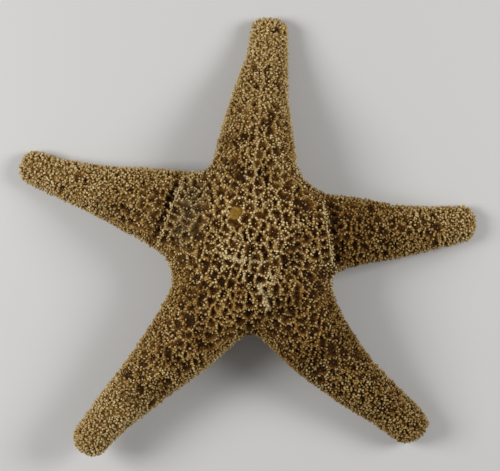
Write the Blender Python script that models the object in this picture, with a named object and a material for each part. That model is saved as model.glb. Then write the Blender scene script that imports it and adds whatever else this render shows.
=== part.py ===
"""A dried starfish, as one solid: a low disc and five tapering arms, arched so that it stands on four arm tips.

The solid's surface is the one that the tips of the skin's short spines reach. The origin is on the ground below
the middle of the whole outline, +Y runs towards the straightest arm, and +Z is up.
"""

import math
from collections import namedtuple

import bmesh
import bpy
import numpy as np

# Driving dimensions, in millimetres and degrees.
MM = 0.001
DISC_CENTRE = (2.0, -4.75)
DISC_RADIUS = 41.0
DISC_POWER = 3.0
DISC_TOP = 45.0
DISC_UNDERSIDE = 12.0
JOIN_POWER = 4.0
WIDEST_AT = 0.38
GROOVE_HALF_WIDTH = 3.2
GROOVE_FLOOR = 1.2
GROOVE_DEPTH = 3.5
GROOVE_STOPS_SHORT = 7.0
MOUTH_RADIUS = 7.0
MOUTH_DEPTH = 4.0
CREASE_RIM = 0.8
CREASE_WIDTH = 1.5
CREASE_FADE = 0.45
TIP_POWER = 2.2

# Each arm is measured at these fractions of its reach, from the disc's centre to the tip.
STATIONS = np.array([0.0, 0.25, 0.45, 0.65, 0.85, 1.0])

# heading: direction from the disc's centre, anticlockwise from +X. bend: how far the arm's middle line lies to the
# left of that heading. half_width: before the tip closes it over the last blunt millimetres. crest and belly:
# heights of the back and the underside, where a belly below the ground is flattened on it. blunt: length over
# which the tip closes. crease: the rim wrinkled up across the arm's root, as its distance from the centre, its
# slant, the drop behind it and the drop's length.
Arm = namedtuple("Arm", "heading reach bend half_width crest belly blunt crease")
ARMS = {
    "top": Arm(85.5, 115.0, (0, 1.2, 1.7, 1.6, -0.3, -0.5), (20, 21.5, 19.0, 14.5, 10.8, 9.4),
               (45, 44.6, 41, 30, 18.5, 12), (12, 11, 8, 3.5, -0.6, -1.0), 6.0, None),
    "left": Arm(161.3, 124.0, (0, -2.9, -3.1, -1.8, -1.2, -2.2), (20, 22.2, 18.4, 13.3, 9.9, 8.8),
                (45, 44, 37, 26, 16, 10.5), (12, 11, 7, 2.5, -0.6, -1.0), 8.0, (43.8, -0.04, 4.4, 2.6)),
    "lower_left": Arm(-129.0, 132.8, (0, 3.1, 3.2, 1.0, -1.5, -1.7), (20, 21.4, 18.2, 14.0, 10.8, 9.2),
                      (45, 45, 42, 37, 33.5, 30.5), (12, 12, 12, 11.5, 11.5, 12.5), 8.0, None),
    "lower_right": Arm(-48.5, 128.5, (0, -4.2, -7.6, -6.6, -2.4, 0), (20, 22, 18.2, 14.4, 11.5, 9.6),
                       (45, 45, 41, 33, 24, 17.5), (12, 12, 10, 6, 0.2, -1.0), 8.0, None),
    "right": Arm(5.1, 113.7, (0, 2.2, 2.4, 0.4, 0.7, 1.6), (19, 20, 17.4, 13.7, 10.7, 9.0),
                 (45, 44, 37, 26, 16, 10.5), (12, 11, 7, 2.5, -0.6, -1.0), 7.0, (38.2, 0.07, 4.5, 6.5)),
}
CROTCH_HEADINGS = {"top": 120.0, "left": 195.0, "lower_left": 268.0, "lower_right": 338.0, "right": 51.5}

# The mesh: ribs across each arm, and columns from an arm's middle line to its edge.
DISC_RIBS = 9
ARM_RIBS = 21
COLUMNS = 5
ROOT_STATION = 40.0
RIBS_TURN_OVER = 22.0

SKIN_COLOUR = (0.36, 0.23, 0.09, 1.0)
SKIN_ROUGHNESS = 0.8


def smooth_step(t):
    """0 below 0, 1 above 1, and a smooth S between."""
    t = np.clip(t, 0, 1)
    return t * t * (3 - 2 * t)


def along(values, fraction):
    """The value at that fraction of the reach, on a cubic curve through the values at STATIONS."""
    values = np.array(values, float)
    slopes = np.gradient(values, STATIONS)
    k = np.clip(np.searchsorted(STATIONS, fraction) - 1, 0, len(STATIONS) - 2)
    span = STATIONS[k + 1] - STATIONS[k]
    t = (fraction - STATIONS[k]) / span
    ease = t * t * (3 - 2 * t)
    return (
        values[k] * (1 - ease)
        + values[k + 1] * ease
        + span * slopes[k] * t * (1 - t) ** 2
        - span * slopes[k + 1] * t * t * (1 - t)
    )


def directions(heading):
    """Unit vectors along a heading and to the left of it."""
    angle = math.radians(heading)
    return np.array([math.cos(angle), math.sin(angle)]), np.array([-math.sin(angle), math.cos(angle)])


def arm_place(arm, points):
    """Distance along the arm, fraction of its reach, distance left of its middle line, and half width there."""
    ahead, left = directions(arm.heading)
    away = points - DISC_CENTRE
    station = away @ ahead
    fraction = np.clip(station / arm.reach, 0, 1)
    sideways = away @ left - along(arm.bend, fraction)
    return station, fraction, sideways, along(arm.half_width, fraction)


def crease_height(arm, station, sideways, half_width):
    """A low rim across the arm's root, then a sudden drop that fills up again further out. It fades at the sides."""
    distance, slant, depth, length = arm.crease
    past = station - distance + slant * sideways
    rim = CREASE_RIM * np.exp(-((past / CREASE_WIDTH + 0.8) ** 2))
    drop = depth * smooth_step(past / CREASE_WIDTH) * np.exp(-((np.maximum(past, 0) / length) ** 2))
    return (rim - drop) * smooth_step((1 - (sideways / half_width) ** 2) / CREASE_FADE)


def body(points):
    """Closeness to the edge (0 in the middle, 1 on the outline), top height and underside height at plan points.

    Each arm's closeness is the square of the distance from its middle line over its half width, plus a power of the
    way into its blunt tip, and the disc's is a power of the distance from its centre. They join as a power mean,
    which rounds the corners between them, and the same powers weigh their heights.
    """
    away = points - DISC_CENTRE
    from_centre = np.hypot(away[..., 0], away[..., 1])
    closeness = [np.maximum((from_centre / DISC_RADIUS) ** DISC_POWER, 1e-9)]
    crests = [np.full(from_centre.shape, DISC_TOP)]
    bellies = [np.full(from_centre.shape, DISC_UNDERSIDE)]
    grooves = [np.zeros(from_centre.shape)]
    for arm in ARMS.values():
        station, fraction, sideways, half_width = arm_place(arm, points)
        behind = np.minimum(station, 0)
        tip = np.maximum((station - arm.reach + arm.blunt) / arm.blunt, 0) ** TIP_POWER
        closeness.append(np.maximum((sideways**2 + behind**2) / half_width**2 + tip, 1e-9))
        crest = along(arm.crest, fraction)
        if arm.crease:
            crest = crest + crease_height(arm, station, sideways, half_width)
        crests.append(crest)
        bellies.append(along(arm.belly, fraction))
        across = smooth_step((GROOVE_HALF_WIDTH - np.abs(sideways)) / (GROOVE_HALF_WIDTH - GROOVE_FLOOR))
        ends = smooth_step((arm.reach - GROOVE_STOPS_SHORT - station) / GROOVE_STOPS_SHORT) * (station > 0)
        grooves.append(GROOVE_DEPTH * across * ends)
    powers = np.array(closeness) ** -JOIN_POWER
    weights = powers / powers.sum(axis=0)
    edge = powers.sum(axis=0) ** (-1 / JOIN_POWER)
    crest = (weights * crests).sum(axis=0)
    belly = (weights * bellies).sum(axis=0)
    widest = np.maximum(belly, 0) + WIDEST_AT * (crest - np.maximum(belly, 0))
    inside = np.clip(1 - edge, 0, 1)
    top = widest + (crest - widest) * np.sqrt(inside)
    flat = np.sqrt(np.clip(1 - edge**2, 0, 1))
    bottom = np.maximum(widest - (widest - belly) * flat, 0)
    hollow = np.max(grooves, axis=0) + MOUTH_DEPTH * np.exp(-((from_centre / MOUTH_RADIUS) ** 2))
    return edge, top, bottom + hollow * flat


def reach_edge(start, direction, longest=70.0):
    """The point where a ray from inside crosses the outline, by halving."""
    low = np.zeros(start.shape[:-1])
    high = np.full(start.shape[:-1], longest)
    for _ in range(48):
        middle = (low + high) / 2
        inside = body(start + middle[..., None] * direction)[0] < 1
        low = np.where(inside, middle, low)
        high = np.where(inside, high, middle)
    return start + low[..., None] * direction


def crotch(heading):
    return reach_edge(np.array([DISC_CENTRE]), directions(heading)[0])[0]


def arm_ribs(name, side):
    """Middle and end points of the ribs on one side of an arm, from the disc's centre to the arm's tip.

    The disc's ribs end on the line to the crotch, closer together near it. The arm's ribs end on the outline: the
    first points at the crotch, and the others turn square to the arm.
    """
    arm = ARMS[name]
    ahead, left = directions(arm.heading)
    centre = np.array(DISC_CENTRE)
    disc = np.arange(DISC_RIBS + 1) / DISC_RIBS
    arm_part = np.arange(1, ARM_RIBS + 1) / ARM_RIBS
    station = np.concatenate([
        ROOT_STATION * disc,
        ROOT_STATION + (arm.reach - ROOT_STATION) * (1 - (1 - arm_part) ** 1.3),
    ])
    bend = along(arm.bend, station / arm.reach)
    middles = centre + station[:, None] * ahead + bend[:, None] * left
    names = list(ARMS)
    crotch_name = name if side > 0 else names[names.index(name) - 1]
    corner = crotch(CROTCH_HEADINGS[crotch_name])
    seam = centre + (1 - (1 - disc[:, None]) ** 1.5) * (corner - centre)
    first = corner - middles[DISC_RIBS]
    lean = math.atan2(first @ ahead, side * (first @ left))
    turned = lean * (1 - smooth_step((station[DISC_RIBS + 1:] - ROOT_STATION) / RIBS_TURN_OVER))
    rays = np.sin(turned)[:, None] * ahead + side * np.cos(turned)[:, None] * left
    outline = reach_edge(middles[DISC_RIBS + 1:], rays)
    return station, middles, np.concatenate([seam, outline])


def spread(station, widths, groove):
    """Fractions of a rib at which its columns stand: even on the disc, denser near the edge on the arms, and with
    two columns on the groove's floor and lip if there is a groove."""
    even = np.linspace(0, 1, COLUMNS + 1)
    arc = smooth_step((station[:, None] - ROOT_STATION) / 12)
    fractions = even * (1 - arc) + np.sin(even * math.pi / 2) * arc
    if not groove:
        return fractions
    widths = np.maximum(widths[:, None], 1e-6)
    floor = np.minimum(GROOVE_FLOOR / widths, 0.12)
    lip = np.minimum(GROOVE_HALF_WIDTH / widths, 0.3)
    return np.concatenate([np.zeros_like(lip), floor, lip + (1 - lip) * fractions], axis=1)


def half_sheet(name, side, upper):
    """A grid of points over one side of an arm's back or underside."""
    station, middles, ends = arm_ribs(name, side)
    ends[-1] = middles[-1]
    widths = np.abs((ends - middles) @ directions(ARMS[name].heading)[1])
    t = spread(station, widths, not upper)[..., None]
    plan = middles[:, None] * (1 - t) + ends[:, None] * t
    _, top, bottom = body(plan)
    height = top if upper else bottom
    edge_height = body(ends[DISC_RIBS:] * (1 - 1e-12))[1]
    height[DISC_RIBS:, -1] = edge_height
    height[-1] = edge_height[-1]
    return np.concatenate([plan, height[..., None]], axis=2)


def grid_faces(rows, columns, first, turn_over):
    """Quads of a grid of points that are numbered row by row from first."""
    corner = first + np.arange(rows - 1)[:, None] * columns + np.arange(columns - 1)
    quads = np.stack([corner, corner + columns, corner + columns + 1, corner + 1], axis=-1).reshape(-1, 4)
    return quads[:, ::-1] if turn_over else quads


def starfish_mesh():
    points = []
    faces = []
    count = 0
    for name in ARMS:
        for side in (1, -1):
            for upper in (True, False):
                grid = half_sheet(name, side, upper)
                faces.append(grid_faces(*grid.shape[:2], count, (side > 0) != upper))
                points.append(grid.reshape(-1, 3))
                count += len(points[-1])
    mesh = bpy.data.meshes.new("starfish")
    mesh.from_pydata(np.concatenate(points) * MM, [], np.concatenate(faces).tolist())
    bm = bmesh.new()
    bm.from_mesh(mesh)
    bmesh.ops.remove_doubles(bm, verts=bm.verts, dist=2e-6)
    bmesh.ops.dissolve_degenerate(bm, edges=bm.edges, dist=1e-7)
    bmesh.ops.triangulate(bm, faces=bm.faces)
    bm.to_mesh(mesh)
    bm.free()
    mesh.shade_smooth()
    return mesh


def skin_material():
    material = bpy.data.materials.new("dried_skin")
    material.use_nodes = True
    shader = material.node_tree.nodes["Principled BSDF"]
    shader.inputs["Base Color"].default_value = SKIN_COLOUR
    shader.inputs["Roughness"].default_value = SKIN_ROUGHNESS
    shader.inputs["Metallic"].default_value = 0.0
    return material


for old in list(bpy.data.objects):
    bpy.data.objects.remove(old, do_unlink=True)
starfish = bpy.data.objects.new("starfish", starfish_mesh())
starfish.data.materials.append(skin_material())
bpy.context.scene.collection.objects.link(starfish)
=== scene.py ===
import math
from collections import namedtuple

import bmesh
import bpy
import numpy as np
from mathutils.kdtree import KDTree
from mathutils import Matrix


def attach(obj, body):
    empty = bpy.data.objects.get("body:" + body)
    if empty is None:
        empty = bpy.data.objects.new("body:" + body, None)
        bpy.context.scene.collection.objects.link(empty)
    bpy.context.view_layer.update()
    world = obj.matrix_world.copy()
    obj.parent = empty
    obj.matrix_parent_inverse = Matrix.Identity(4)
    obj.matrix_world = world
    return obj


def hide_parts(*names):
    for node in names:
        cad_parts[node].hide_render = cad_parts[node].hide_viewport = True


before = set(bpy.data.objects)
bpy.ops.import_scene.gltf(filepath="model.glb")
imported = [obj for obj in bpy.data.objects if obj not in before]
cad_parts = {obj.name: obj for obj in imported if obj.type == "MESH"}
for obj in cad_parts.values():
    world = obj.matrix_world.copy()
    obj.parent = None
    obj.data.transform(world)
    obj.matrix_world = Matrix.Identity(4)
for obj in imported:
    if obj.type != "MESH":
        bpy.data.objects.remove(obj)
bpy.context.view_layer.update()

# The body. A dried sea star is one leathery skin over a net of limy plates: a low disc that runs into five
# tapering arms, arched up so that it stands on four arm tips. The sizes are in millimetres and degrees, and
# they are those of the surface that the spine tips reach, with the skin set back from it.
MM = 0.001
DISC_CENTRE = (2.0, -4.75)
DISC_RADIUS = 41.0
DISC_POWER = 3.0
DISC_TOP = 45.0
DISC_UNDERSIDE = 12.0
JOIN_POWER = 4.0
WIDEST_AT = 0.38
GROOVE_HALF_WIDTH = 3.2
GROOVE_FLOOR = 1.2
GROOVE_DEPTH = 3.5
GROOVE_STOPS_SHORT = 7.0
MOUTH_RADIUS = 7.0
MOUTH_DEPTH = 4.0
CREASE_RIM = 0.8
RIM_AHEAD = 0.8
CREASE_WIDTH = 1.5
CREASE_FADE = 0.45
TIP_POWER = 2.2
STATIONS = np.array([0.0, 0.25, 0.45, 0.65, 0.85, 1.0])
Arm = namedtuple("Arm", "heading reach bend half_width crest belly blunt crease")
ARMS = {
    "top": Arm(85.5, 115.0, (0, 1.2, 1.7, 1.6, -0.3, -0.5), (20, 21.5, 19.0, 14.5, 10.8, 9.4),
               (45, 44.6, 41, 30, 18.5, 12), (12, 11, 8, 3.5, -0.6, -1.0), 6.0, None),
    "left": Arm(161.3, 124.0, (0, -2.9, -3.1, -1.8, -1.2, -2.2), (20, 22.2, 18.4, 13.3, 9.9, 8.8),
                (45, 44, 37, 26, 16, 10.5), (12, 11, 7, 2.5, -0.6, -1.0), 8.0, (43.8, -0.04, 4.4, 2.6)),
    "lower_left": Arm(-129.0, 132.8, (0, 3.1, 3.2, 1.0, -1.5, -1.7), (20, 21.4, 18.2, 14.0, 10.8, 9.2),
                      (45, 45, 42, 37, 33.5, 30.5), (12, 12, 12, 11.5, 11.5, 12.5), 8.0, None),
    "lower_right": Arm(-48.5, 128.5, (0, -4.2, -7.6, -6.6, -2.4, 0), (20, 22, 18.2, 14.4, 11.5, 9.6),
                       (45, 45, 41, 33, 24, 17.5), (12, 12, 10, 6, 0.2, -1.0), 8.0, None),
    "right": Arm(5.1, 113.7, (0, 2.2, 2.4, 0.4, 0.7, 1.6), (19, 20, 17.4, 13.7, 10.7, 9.0),
                 (45, 44, 37, 26, 16, 10.5), (12, 11, 7, 2.5, -0.6, -1.0), 7.0, (38.2, 0.07, 4.5, 6.5)),
}
CROTCH_HEADINGS = {"top": 120.0, "left": 195.0, "lower_left": 268.0, "lower_right": 338.0, "right": 51.5}
ROOT_STATION = 40.0
RIBS_TURN_OVER = 22.0
DISC_RIBS = 54
ARM_RIBS = 116
ARM_RIBS_CLOSE_UP = 1.3
DISC_RIBS_CLOSE_UP = 1.5
COLUMNS_CLOSE_UP_OVER = 12.0
BACK_COLUMNS = 38
BELLY_COLUMNS = 16
FLOOR_SHARE = 0.12
LIP_SHARE = 0.3
WELD = 0.002
SLIVER = 0.0001


def smooth_step(t):
    """0 below 0, 1 above 1, and a smooth S between."""
    t = np.clip(t, 0, 1)
    return t * t * (3 - 2 * t)


def along(values, fraction):
    """The value at that fraction of the reach, on a cubic curve through the values at STATIONS."""
    values = np.array(values, float)
    slopes = np.gradient(values, STATIONS)
    k = np.clip(np.searchsorted(STATIONS, fraction) - 1, 0, len(STATIONS) - 2)
    span = STATIONS[k + 1] - STATIONS[k]
    t = (fraction - STATIONS[k]) / span
    ease = t * t * (3 - 2 * t)
    return (
        values[k] * (1 - ease)
        + values[k + 1] * ease
        + span * slopes[k] * t * (1 - t) ** 2
        - span * slopes[k + 1] * t * t * (1 - t)
    )


def directions(heading):
    """Unit vectors along a heading and to the left of it."""
    angle = math.radians(heading)
    return np.array([math.cos(angle), math.sin(angle)]), np.array([-math.sin(angle), math.cos(angle)])


def arm_place(arm, points):
    """Distance along the arm, fraction of its reach, distance left of its middle line, half width there."""
    ahead, left = directions(arm.heading)
    away = points - DISC_CENTRE
    station = away @ ahead
    fraction = np.clip(station / arm.reach, 0, 1)
    sideways = away @ left - along(arm.bend, fraction)
    return station, fraction, sideways, along(arm.half_width, fraction)


def crease_height(arm, station, sideways, half_width):
    """A low rim across the arm's root, then a drop that fills up again farther out. It fades at the sides."""
    distance, slant, depth, length = arm.crease
    past = station - distance + slant * sideways
    rim = CREASE_RIM * np.exp(-((past / CREASE_WIDTH + RIM_AHEAD) ** 2))
    drop = depth * smooth_step(past / CREASE_WIDTH) * np.exp(-((np.maximum(past, 0) / length) ** 2))
    return (rim - drop) * smooth_step((1 - (sideways / half_width) ** 2) / CREASE_FADE)


def body(points):
    """Closeness to the edge (0 in the middle, 1 on the outline), top and underside heights at plan points.

    Each arm's closeness is the square of the distance from its middle line over its half width, plus a
    power of the way into its blunt tip, and the disc's is a power of the distance from its centre. They
    join as a power mean, which rounds the corners, and the same powers weigh their heights.
    """
    away = points - DISC_CENTRE
    from_centre = np.hypot(away[..., 0], away[..., 1])
    closeness = [np.maximum((from_centre / DISC_RADIUS) ** DISC_POWER, 1e-9)]
    crests = [np.full(from_centre.shape, DISC_TOP)]
    bellies = [np.full(from_centre.shape, DISC_UNDERSIDE)]
    grooves = [np.zeros(from_centre.shape)]
    for arm in ARMS.values():
        station, fraction, sideways, half_width = arm_place(arm, points)
        behind = np.minimum(station, 0)
        tip = np.maximum((station - arm.reach + arm.blunt) / arm.blunt, 0) ** TIP_POWER
        closeness.append(np.maximum((sideways**2 + behind**2) / half_width**2 + tip, 1e-9))
        crest = along(arm.crest, fraction)
        if arm.crease:
            crest = crest + crease_height(arm, station, sideways, half_width)
        crests.append(crest)
        bellies.append(along(arm.belly, fraction))
        across = smooth_step((GROOVE_HALF_WIDTH - np.abs(sideways)) / (GROOVE_HALF_WIDTH - GROOVE_FLOOR))
        ends = smooth_step((arm.reach - GROOVE_STOPS_SHORT - station) / GROOVE_STOPS_SHORT) * (station > 0)
        grooves.append(GROOVE_DEPTH * across * ends)
    powers = np.array(closeness) ** -JOIN_POWER
    weights = powers / powers.sum(axis=0)
    edge = powers.sum(axis=0) ** (-1 / JOIN_POWER)
    crest = (weights * crests).sum(axis=0)
    belly = (weights * bellies).sum(axis=0)
    widest = np.maximum(belly, 0) + WIDEST_AT * (crest - np.maximum(belly, 0))
    inside = np.clip(1 - edge, 0, 1)
    top = widest + (crest - widest) * np.sqrt(inside)
    flat = np.sqrt(np.clip(1 - edge**2, 0, 1))
    bottom = np.maximum(widest - (widest - belly) * flat, 0)
    hollow = np.max(grooves, axis=0) + MOUTH_DEPTH * np.exp(-((from_centre / MOUTH_RADIUS) ** 2))
    return edge, top, bottom + hollow * flat


def reach_edge(start, direction, longest=70.0, pace=0.1, halvings=30):
    """Where a ray from inside first crosses the outline: by even paces, then by halving the last one."""
    paces = np.arange(0, longest, pace)
    passed = body(start[:, None] + paces[:, None] * direction.reshape(-1, 1, 2))[0] < 1
    high = paces[passed.argmin(axis=1)]
    low = high - pace
    for _ in range(halvings):
        middle = (low + high) / 2
        inside = body(start + middle[..., None] * direction)[0] < 1
        low = np.where(inside, middle, low)
        high = np.where(inside, high, middle)
    return start + low[..., None] * direction


def arm_ribs(name, side):
    """Middle and end points of the ribs on one side of an arm, from the disc's centre to the arm's tip.

    The disc's ribs end on the line to the crotch, closer together near it. The arm's ribs end on the
    outline: the first points at the crotch, and the others turn square to the arm.
    """
    arm = ARMS[name]
    ahead, left = directions(arm.heading)
    centre = np.array(DISC_CENTRE)
    disc = np.arange(DISC_RIBS + 1) / DISC_RIBS
    arm_part = np.arange(1, ARM_RIBS + 1) / ARM_RIBS
    station = np.concatenate([
        ROOT_STATION * disc,
        ROOT_STATION + (arm.reach - ROOT_STATION) * (1 - (1 - arm_part) ** ARM_RIBS_CLOSE_UP),
    ])
    bend = along(arm.bend, station / arm.reach)
    middles = centre + station[:, None] * ahead + bend[:, None] * left
    names = list(ARMS)
    crotch_name = name if side > 0 else names[names.index(name) - 1]
    corner = reach_edge(centre[None], directions(CROTCH_HEADINGS[crotch_name])[0])[0]
    seam = centre + (1 - (1 - disc[:, None]) ** DISC_RIBS_CLOSE_UP) * (corner - centre)
    first = corner - middles[DISC_RIBS]
    lean = math.atan2(first @ ahead, side * (first @ left))
    turned = lean * (1 - smooth_step((station[DISC_RIBS + 1:] - ROOT_STATION) / RIBS_TURN_OVER))
    rays = np.sin(turned)[:, None] * ahead + side * np.cos(turned)[:, None] * left
    outline = reach_edge(middles[DISC_RIBS + 1:], rays)
    return station, middles, np.concatenate([seam, outline])


def half_sheet(name, side, upper):
    """A grid of points over one side of an arm's back or underside: ribs along it, columns out to the edge.

    The columns stand evenly on the disc and closer together towards the edge on the arms, as the sine
    of an even angle. The underside has three more, on the floor and the lip of the groove.
    """
    columns = BACK_COLUMNS if upper else BELLY_COLUMNS
    station, middles, ends = arm_ribs(name, side)
    ends[-1] = middles[-1]
    even = np.linspace(0, 1, columns + 1)
    arc = smooth_step((station[:, None] - ROOT_STATION) / COLUMNS_CLOSE_UP_OVER)
    t = even * (1 - arc) + np.sin(even * math.pi / 2) * arc
    if not upper:
        width = np.maximum(np.abs((ends - middles) @ directions(ARMS[name].heading)[1]), 1e-6)[:, None]
        floor = np.minimum(GROOVE_FLOOR / width, FLOOR_SHARE)
        lip = np.minimum(GROOVE_HALF_WIDTH / width, LIP_SHARE)
        t = np.concatenate([0 * lip, floor, (floor + lip) / 2, lip + (1 - lip) * t], axis=1)
    plan = middles[:, None] * (1 - t[..., None]) + ends[:, None] * t[..., None]
    _, top, bottom = body(plan)
    height = top if upper else bottom
    edge_height = body(ends[DISC_RIBS:] * (1 - 1e-12))[1]
    height[DISC_RIBS:, -1] = edge_height
    height[-1] = edge_height[-1]
    return np.concatenate([plan, height[..., None]], axis=2)


def grid_faces(rows, columns, first, turn_over):
    """Quads of a grid of points that are numbered row by row from first."""
    corner = first + np.arange(rows - 1)[:, None] * columns + np.arange(columns - 1)
    quads = np.stack([corner, corner + columns, corner + columns + 1, corner + 1], axis=-1).reshape(-1, 4)
    return quads[:, ::-1] if turn_over else quads


def envelope():
    """The closed surface over the spine tips, as a mesh in millimetres."""
    points = []
    faces = []
    count = 0
    for name in ARMS:
        for side in (1, -1):
            for upper in (True, False):
                grid = half_sheet(name, side, upper)
                faces.append(grid_faces(*grid.shape[:2], count, (side > 0) != upper))
                points.append(grid.reshape(-1, 3))
                count += len(points[-1])
    mesh = bpy.data.meshes.new("skin")
    mesh.from_pydata(np.concatenate(points), [], np.concatenate(faces).tolist())
    bm = bmesh.new()
    bm.from_mesh(mesh)
    bmesh.ops.remove_doubles(bm, verts=bm.verts, dist=WELD)
    bmesh.ops.dissolve_degenerate(bm, edges=bm.edges, dist=SLIVER)
    bm.to_mesh(mesh)
    bm.free()
    return mesh


def numbers(items, what, kind):
    """Three numbers of that kind for each vertex or triangle of a mesh, one numpy row for each."""
    found = np.empty(len(items) * 3, kind)
    items.foreach_get(what, found)
    return found.reshape(-1, 3)


skin_mesh = envelope()
tip_points = numbers(skin_mesh.vertices, "co", np.float32).astype(float)
outwards = numbers(skin_mesh.vertices, "normal", np.float32).astype(float)
skin_mesh.calc_loop_triangles()
skin_triangles = numbers(skin_mesh.loop_triangles, "vertices", np.int32)

# The net. Limy plates under the skin join in a net of ridges, with soft skin sunk in its meshes. A mesh is
# what lies nearest to its own middle, so ridges run half-way between middles. Meshes are nearly 5 mm wide,
# some run together, and towards the tips they lie across the arms and few are bare.
NET_SEED = 11
MIDDLES_PER_SQUARE_MM = 0.6
MESH_ON_DISC = 4.5
MESH_AT_TIP = 4.8
MESHES_VARY = 0.45
MIDDLES_APART = 0.78
WAVER = 0.55
WAVER_TURNS = np.array([[0.95, 0.35, 0.2], [-0.4, 0.9, 0.3], [0.3, -0.5, 0.9]])
RIPPLE = 0.28
RIPPLE_TURNS = np.array([[-0.7, 2.1, 0.4], [2.3, 0.6, -0.5], [0.5, 0.8, 1.9]])
NARROWED_AT_TIP = 1.5
NARROWS_FROM = 36.0
NARROWS_OVER = 55.0
BESIDE_LINE = 2.1
ALONG_LINE = 4.3
PAIR_SLACK = 0.4
LINE_POINTS = 9
MIDLINE_FROM = 16.0
MIDLINE_TO = 84.0
RIM_REACHES = 0.8
PAIRS_STRAY = 0.35
OPEN_ON_DISC = 0.6
OPEN_AT_TIP = 0.1
OPEN_FARTHER = 20.0
JOINED_SHARE = 0.27
NEIGHBOURS = 4
PALE_BAND = ((-11.0, -9.8), (-3.0, -12.4), (7.0, -13.3))
PALE_SPUR = ((-0.3, -14.5), (-1.8, -21.6))
PALE_RIDGE = ((4.3, -19.9), (5.4, -24.0), (6.2, -28.5), (7.9, -32.9), (8.9, -35.6))
TO_CROTCH = ((8.9, -35.6), (6.5, -46.0))
BURST = ((11.2, -18.2), (14.2, -20.4))
BARE_MESH = ((9.9, -28.4), (10.7, -29.3))
RING_MIDDLE = (4.0, 0.0)
RING_RADIUS = 14.0
RING_WIDTH = 8.0
FINER_IN_RING = 0.2
NEAR_CUBE = 4.0
NEAR_COUNT = 32
chance = np.random.default_rng(NET_SEED)


def scattered(points, triangles, normals, per_square_mm):
    """Random points all over a mesh's triangles, as many on each square millimetre, with their normals."""
    corners = points[triangles]
    across = np.cross(corners[:, 1] - corners[:, 0], corners[:, 2] - corners[:, 0])
    area = np.linalg.norm(across, axis=1) / 2
    count = int(area.sum() * per_square_mm)
    chosen = chance.choice(len(area), count, p=area / area.sum())
    first, second = chance.random((2, count, 1))
    root = np.sqrt(first)
    shares = np.concatenate([1 - root, root * (1 - second), root * second], axis=1)[..., None]
    facing = (normals[triangles[chosen]] * shares).sum(axis=1)
    return (corners[chosen] * shares).sum(axis=1), facing / np.linalg.norm(facing, axis=1, keepdims=True)


def nearest_arm(points):
    """Which arm each point lies on, and the distance along that arm and to the left of its middle line."""
    places = [arm_place(arm, points[:, :2]) for arm in ARMS.values()]
    miss = [(side / width) ** 2 + (np.minimum(station, 0) / width) ** 2 for station, _, side, width in places]
    arm = np.array(miss).argmin(axis=0)
    pick = (arm, np.arange(len(points)))
    return arm, np.array([p[0] for p in places])[pick], np.array([p[2] for p in places])[pick]


def narrowing(station):
    """0 on the disc, rising to 1 towards the arm tips."""
    return smooth_step((station - NARROWS_FROM) / NARROWS_OVER)


def tree_of(points):
    """A search tree that finds a point's neighbours."""
    tree = KDTree(len(points))
    for i, point in enumerate(points):
        tree.insert(point, i)
    tree.balance()
    return tree


def thinned(points, order, spacing):
    """The points taken in that order, each at least its own spacing from every point taken before."""
    tree = tree_of(points)
    free = np.ones(len(points), bool)
    taken = []
    for i in order:
        if free[i]:
            taken.append(i)
            for _, j, _ in tree.find_range(points[i], spacing[i]):
                free[j] = False
    return np.array(taken)


def arm_point(arm, station, sideways):
    """The plan point at that distance along an arm and to the left of its middle line."""
    ahead, left = directions(arm.heading)
    offset = along(arm.bend, np.clip(station / arm.reach, 0, 1)) + sideways
    return np.array(DISC_CENTRE) + station[:, None] * ahead + offset[:, None] * left


def paced(line, first, step):
    """Points every step along a line in plan, from that distance on, and the line's direction at each."""
    line = np.array(line)
    length = np.append(0, np.cumsum(np.linalg.norm(np.diff(line, axis=0), axis=1)))
    at = np.arange(first, length[-1], step)
    spot = np.column_stack([np.interp(at, length, line[:, k]) for k in (0, 1)])
    way = np.column_stack([np.interp(at, length, np.gradient(line[:, k], length)) for k in (0, 1)])
    return spot, way


def beside_line(line):
    """Pairs of middles facing each other over a line on the back, so that a ridge of the net follows it."""
    spot, way = paced(line, ALONG_LINE / 2, ALONG_LINE)
    side = np.column_stack([-way[:, 1], way[:, 0]]) / np.linalg.norm(way, axis=1, keepdims=True)
    plan = np.concatenate([spot + BESIDE_LINE * side, spot - BESIDE_LINE * side])
    plan = plan + chance.normal(0, PAIRS_STRAY, plan.shape)
    return np.column_stack([plan, body(plan)[1]])


def rim_line(arm):
    """The rim wrinkled up across an arm's root."""
    width = along(arm.half_width, arm.crease[0] / arm.reach)
    sideways = np.linspace(-RIM_REACHES, RIM_REACHES, LINE_POINTS) * width
    station = arm.crease[0] - arm.crease[1] * sideways - RIM_AHEAD * CREASE_WIDTH
    return arm_point(arm, station, sideways)


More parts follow.
